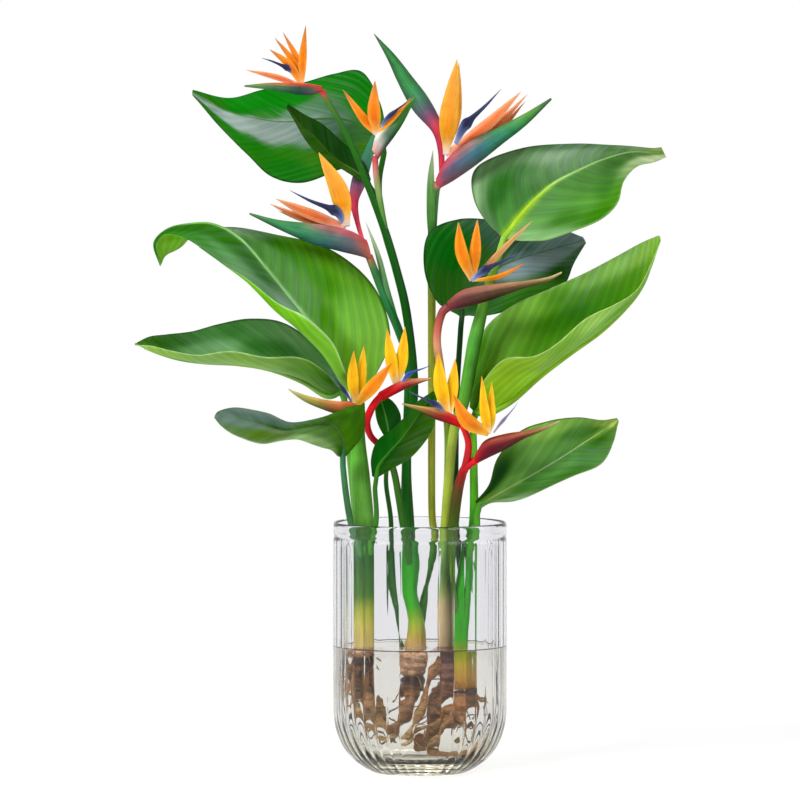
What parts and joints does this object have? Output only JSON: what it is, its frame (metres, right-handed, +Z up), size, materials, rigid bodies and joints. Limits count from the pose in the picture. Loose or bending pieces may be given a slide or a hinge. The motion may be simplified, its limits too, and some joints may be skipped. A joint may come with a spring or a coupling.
{
  "type": "bird of paradise plant in a glass vase",
  "caption": "Bird of paradise plant with orange and blue flowers and broad leaves, standing with its roots in water in a clear ribbed glass vase",
  "frame": {"origin": "middle of the vase's underside, on the surface that it stands on", "axes": "+Z up along the vase's axis; seen from the front along +Y, with +X to the right and the flowers' spathes along X"},
  "size_m": [0.5326, 0.234, 0.7471],
  "materials": {
    "glass": "polished",
    "water": "polished",
    "root": "matte",
    "leaf": "satin",
    "stalk": "satin",
    "spathe": "satin",
    "sepal": "satin",
    "sepal_yellow": "satin",
    "petal": "satin"
  },
  "bodies": {
    "root": {"leaf_back_small": "leaf", "leaf_behind": "leaf", "leaf_centre_small": "leaf", "leaf_left_folded": "leaf", "leaf_left_large": "leaf", "leaf_left_low": "leaf", "leaf_narrow": "leaf", "leaf_right_large": "leaf", "leaf_right_low": "leaf", "leaf_top_left": "leaf", "leaf_top_right": "leaf", "petals_1": "petal", "petals_2": "petal", "petals_3": "petal", "petals_4": "petal", "petals_5": "petal", "petals_6": "petal", "petals_7": "petal", "petals_8": "petal", "petals_9": "petal", "roots_centre": "root", "roots_left": "root", "roots_right": "root", "sepals_1": "sepal", "sepals_2": "sepal", "sepals_3": "sepal", "sepals_4": "sepal", "sepals_5": "sepal", "sepals_6": "sepal_yellow", "sepals_7": "sepal_yellow", "sepals_8": "sepal_yellow", "sepals_9": "sepal_yellow", "spathe_1": "spathe", "spathe_2": "spathe", "spathe_3": "spathe", "spathe_4": "spathe", "spathe_5": "spathe", "spathe_6": "spathe", "spathe_7": "spathe", "spathe_8": "spathe", "spathe_9": "spathe", "stalk_1_2": "stalk", "stalk_3": "stalk", "stalk_4": "stalk", "stalk_5": "stalk", "stalk_6_7": "stalk", "stalk_8_9": "stalk", "vase": "glass", "water": "water"}
  },
  "joints": []
}
